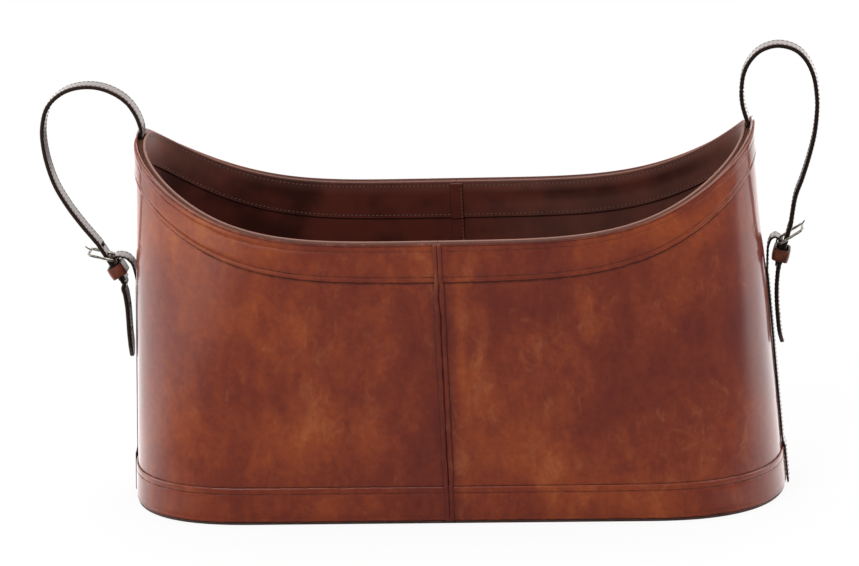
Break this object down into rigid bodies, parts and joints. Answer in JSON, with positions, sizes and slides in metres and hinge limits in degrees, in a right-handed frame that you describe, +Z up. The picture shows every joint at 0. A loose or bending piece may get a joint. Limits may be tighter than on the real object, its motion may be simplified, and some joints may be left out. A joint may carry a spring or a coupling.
{
  "type": "magazine basket",
  "caption": "Oval leather magazine basket with a swept rim and a buckled strap handle at each end.",
  "frame": {"origin": "middle of the underside, on the surface that the basket stands on", "axes": "+X along the basket length, -Y towards the side seen in the picture, +Z up"},
  "size_m": [0.5366, 0.1586, 0.3163],
  "materials": {
    "skin": "hand-antiqued cognac leather, waxed to a gloss",
    "lining": "dark brown lining leather, satin",
    "strap": "dark brown bridle leather with black painted edges",
    "sole": "dark brown leather, matt",
    "board": "pressed fibre board",
    "metal": "antique nickel plate"
  },
  "bodies": {
    "tub": {"base_sole": "sole", "base_board": "board", "floor_lining": "lining", "front_seam_welt": "skin", "back_seam_welt": "skin", "front_lining_strip": "lining", "back_lining_strip": "lining", "left_wall_core": "board", "left_outer_panel": "skin", "left_top_band": "skin", "left_bottom_band": "skin", "left_lining": "lining", "left_facing": "lining", "left_strap_root": "strap", "left_end_strap": "strap", "right_wall_core": "board", "right_outer_panel": "skin", "right_top_band": "skin", "right_bottom_band": "skin", "right_lining": "lining", "right_facing": "lining", "right_strap_root": "strap", "right_end_strap": "strap"},
    "left_handle": {"left_handle_strap": "strap", "left_chape": "strap"},
    "left_buckle": {"left_buckle_frame": "metal"},
    "left_prong": {"left_prong": "metal"},
    "left_keeper": {"left_keeper": "strap"},
    "left_tail": {"left_strap_tail": "strap"},
    "right_handle": {"right_handle_strap": "strap", "right_chape": "strap"},
    "right_buckle": {"right_buckle_frame": "metal"},
    "right_prong": {"right_prong": "metal"},
    "right_keeper": {"right_keeper": "strap"},
    "right_tail": {"right_strap_tail": "strap"}
  },
  "joints": [
    {"name": "left_handle_swing", "type": "hinge", "parent": "tub", "child": "left_handle", "pos_m": [-0.20874, 0, 0.26095], "axis": [0.1301, 0, 0.9915], "range_deg": [-15, 15], "stiffness_Nm_per_rad": 0.02},
    {"name": "left_buckle_tilt", "type": "hinge", "parent": "left_handle", "child": "left_buckle", "pos_m": [-0.23326, 0, 0.171], "axis": [0, 1, 0], "range_deg": [-2.5, 2.5]},
    {"name": "left_prong_lift", "type": "hinge", "parent": "left_buckle", "child": "left_prong", "pos_m": [-0.23326, 0, 0.171], "axis": [0, 1, 0], "range_deg": [0, 3]},
    {"name": "left_keeper_slide", "type": "slide", "parent": "left_handle", "child": "left_keeper", "axis": [-0.4848, 0, 0.8746], "range_m": [-0.001, 0.001]},
    {"name": "left_tail_flex", "type": "hinge", "parent": "left_handle", "child": "left_tail", "pos_m": [-0.23104, 0, 0.15514], "axis": [0, 1, 0], "range_deg": [0, 25], "stiffness_Nm_per_rad": 0.004},
    {"name": "right_handle_swing", "type": "hinge", "parent": "tub", "child": "right_handle", "pos_m": [0.20874, 0, 0.26095], "axis": [-0.1188, 0, 0.9929], "range_deg": [-15, 15], "stiffness_Nm_per_rad": 0.02},
    {"name": "right_buckle_tilt", "type": "hinge", "parent": "right_handle", "child": "right_buckle", "pos_m": [0.22761, 0, 0.175], "axis": [0, -1, 0], "range_deg": [-2.5, 2.5]},
    {"name": "right_prong_lift", "type": "hinge", "parent": "right_buckle", "child": "right_prong", "pos_m": [0.22761, 0, 0.175], "axis": [0, -1, 0], "range_deg": [0, 3]},
    {"name": "right_keeper_slide", "type": "slide", "parent": "right_handle", "child": "right_keeper", "axis": [0.2756, 0, 0.9613], "range_m": [-0.001, 0.001]},
    {"name": "right_tail_flex", "type": "hinge", "parent": "right_handle", "child": "right_tail", "pos_m": [0.22902, 0, 0.15904], "axis": [0, -1, 0], "range_deg": [0, 25], "stiffness_Nm_per_rad": 0.004}
  ]
}
